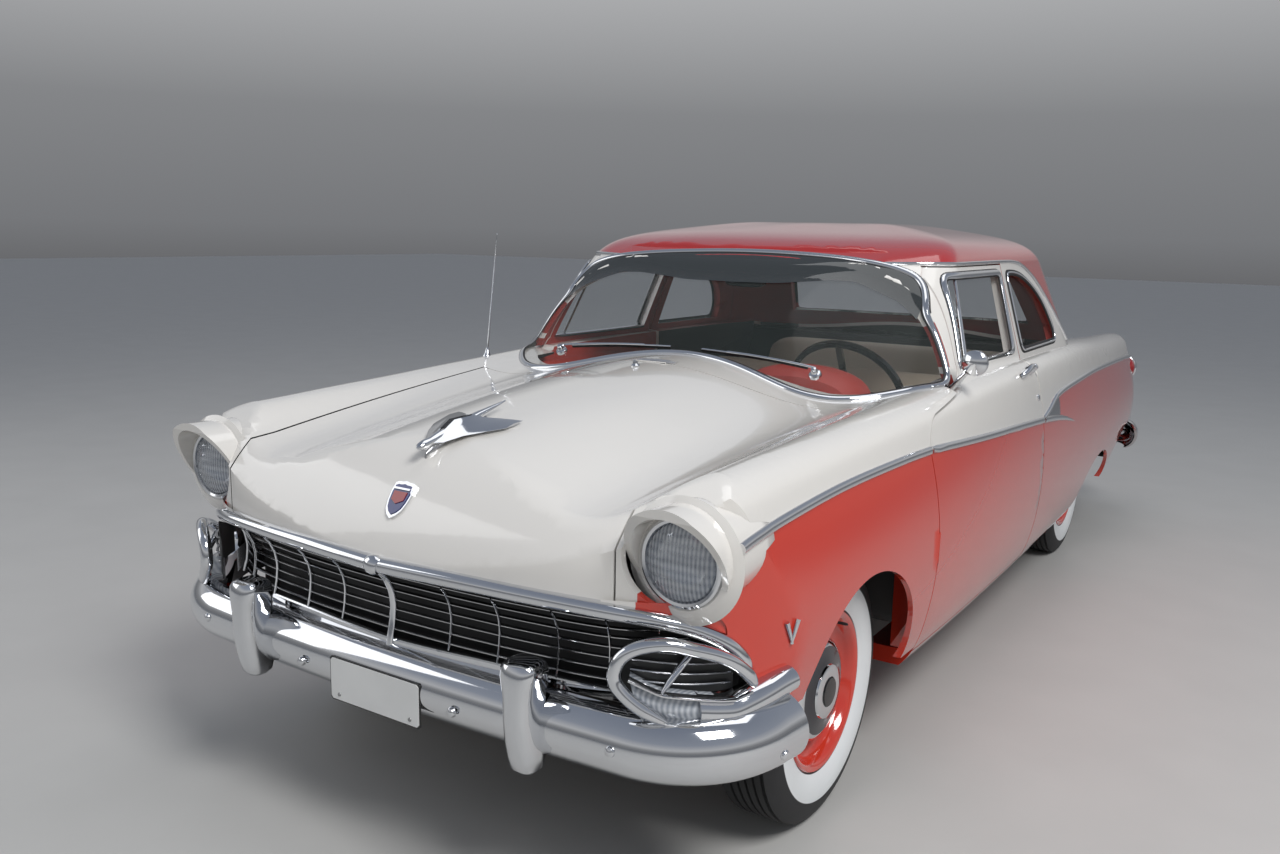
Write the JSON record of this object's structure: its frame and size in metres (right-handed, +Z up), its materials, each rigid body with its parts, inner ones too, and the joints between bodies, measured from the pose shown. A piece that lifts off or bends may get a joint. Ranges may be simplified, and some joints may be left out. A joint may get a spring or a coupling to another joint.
{
  "type": "1950s two-door saloon car",
  "caption": "A full-size two-door saloon car with a bench-seat cabin, opening doors, hood and trunk lid, steered front wheels and chrome bumpers and grille.",
  "frame": {"origin": "on the ground, under the middle of the overall length and width", "axes": "+Z up, -Y towards the front of the car, +X towards the car's left"},
  "size_m": [1.9214, 5.0442, 1.5516],
  "materials": {
    "lower_paint": "gloss",
    "upper_paint": "gloss",
    "roof_paint": "gloss",
    "chrome": "polished",
    "glass": "clear",
    "lamp_glass": "fluted",
    "red_lens": "gloss",
    "rubber": "matt",
    "underbody": "satin",
    "iron": "rough",
    "steel": "satin",
    "cloth": "woven",
    "black_plastic": "gloss",
    "zinc": "satin"
  },
  "bodies": {
    "car": {"back_window": "glass", "chassis_frame": "underbody", "cowl": "upper_paint", "dashboard": "lower_paint", "driveline": "iron", "engine_block": "iron", "exhaust": "steel", "fender_left": "lower_paint", "fender_right": "lower_paint", "floor_tub": "underbody", "front_bumper": "chrome", "front_pan": "lower_paint", "front_seat": "cloth", "front_suspension": "underbody", "fuel_tank": "zinc", "grille": "chrome", "headlamp_bezels": "upper_paint", "headlamps": "lamp_glass", "parking_lamps": "chrome", "pillar_frame": "upper_paint", "quarter_left": "lower_paint", "quarter_right": "lower_paint", "quarter_windows": "glass", "radiator": "underbody", "rear_axle": "iron", "rear_bumper": "chrome", "rear_deck": "upper_paint", "rear_seat": "cloth", "roof_panel": "roof_paint", "sills": "underbody", "steering_column": "black_plastic", "tail_lamps": "red_lens", "trunk_floor": "underbody", "wheel_housings": "underbody", "windscreen": "glass"},
    "hood_body": {"hood": "upper_paint"},
    "trunk_lid_body": {"trunk_lid": "upper_paint"},
    "door_left_body": {"door_left": "lower_paint", "door_glass_left": "glass", "door_mirror": "chrome"},
    "door_right_body": {"door_right": "lower_paint", "door_glass_right": "glass"},
    "knuckle_left_body": {"knuckle_left": "iron"},
    "knuckle_right_body": {"knuckle_right": "iron"},
    "front_left_wheel": {"wheel_front_left": "lower_paint", "tyre_front_left": "rubber"},
    "front_right_wheel": {"wheel_front_right": "lower_paint", "tyre_front_right": "rubber"},
    "rear_left_wheel": {"wheel_rear_left": "lower_paint", "tyre_rear_left": "rubber"},
    "rear_right_wheel": {"wheel_rear_right": "lower_paint", "tyre_rear_right": "rubber"},
    "steering_wheel_body": {"steering_wheel": "black_plastic"}
  },
  "joints": [
    {"name": "steer_left", "type": "hinge", "parent": "car", "child": "knuckle_left_body", "pos_m": [0.638, -1.683, 0.345], "axis": [0, 0, 1], "range_deg": [-30, 30]},
    {"name": "steer_right", "type": "hinge", "parent": "car", "child": "knuckle_right_body", "pos_m": [-0.638, -1.683, 0.345], "axis": [0, 0, 1], "range_deg": [-30, 30]},
    {"name": "front_left_spin", "type": "hinge", "parent": "knuckle_left_body", "child": "front_left_wheel", "pos_m": [0.7365, -1.683, 0.345], "axis": [1, 0, 0], "continuous": true},
    {"name": "front_right_spin", "type": "hinge", "parent": "knuckle_right_body", "child": "front_right_wheel", "pos_m": [-0.7365, -1.683, 0.345], "axis": [1, 0, 0], "continuous": true},
    {"name": "rear_left_spin", "type": "hinge", "parent": "car", "child": "rear_left_wheel", "pos_m": [0.711, 1.251, 0.345], "axis": [1, 0, 0], "continuous": true},
    {"name": "rear_right_spin", "type": "hinge", "parent": "car", "child": "rear_right_wheel", "pos_m": [-0.711, 1.251, 0.345], "axis": [1, 0, 0], "continuous": true},
    {"name": "steering_wheel_turn", "type": "hinge", "parent": "car", "child": "steering_wheel_body", "pos_m": [0.37, -0.553, 0.955], "axis": [0, 0.8829, 0.4695], "range_deg": [-600, 600]},
    {"name": "door_left_hinge", "type": "hinge", "parent": "car", "child": "door_left_body", "pos_m": [0.9378, -1.2175, 0.64], "axis": [0, 0, -1], "range_deg": [0, 65]},
    {"name": "door_right_hinge", "type": "hinge", "parent": "car", "child": "door_right_body", "pos_m": [-0.9378, -1.2175, 0.64], "axis": [0, 0, 1], "range_deg": [0, 65]},
    {"name": "hood_hinge", "type": "hinge", "parent": "car", "child": "hood_body", "pos_m": [0, -1.2875, 1.0995], "axis": [-1, 0, 0], "range_deg": [0, 50]},
    {"name": "trunk_lid_hinge", "type": "hinge", "parent": "car", "child": "trunk_lid_body", "pos_m": [0, 1.2985, 1.0678], "axis": [1, 0, 0], "range_deg": [0, 65]}
  ],
  "couplings": [
    {"joint": "steer_right", "follows": "steer_left", "ratio": 1},
    {"joint": "steering_wheel_turn", "follows": "steer_left", "ratio": 20}
  ]
}
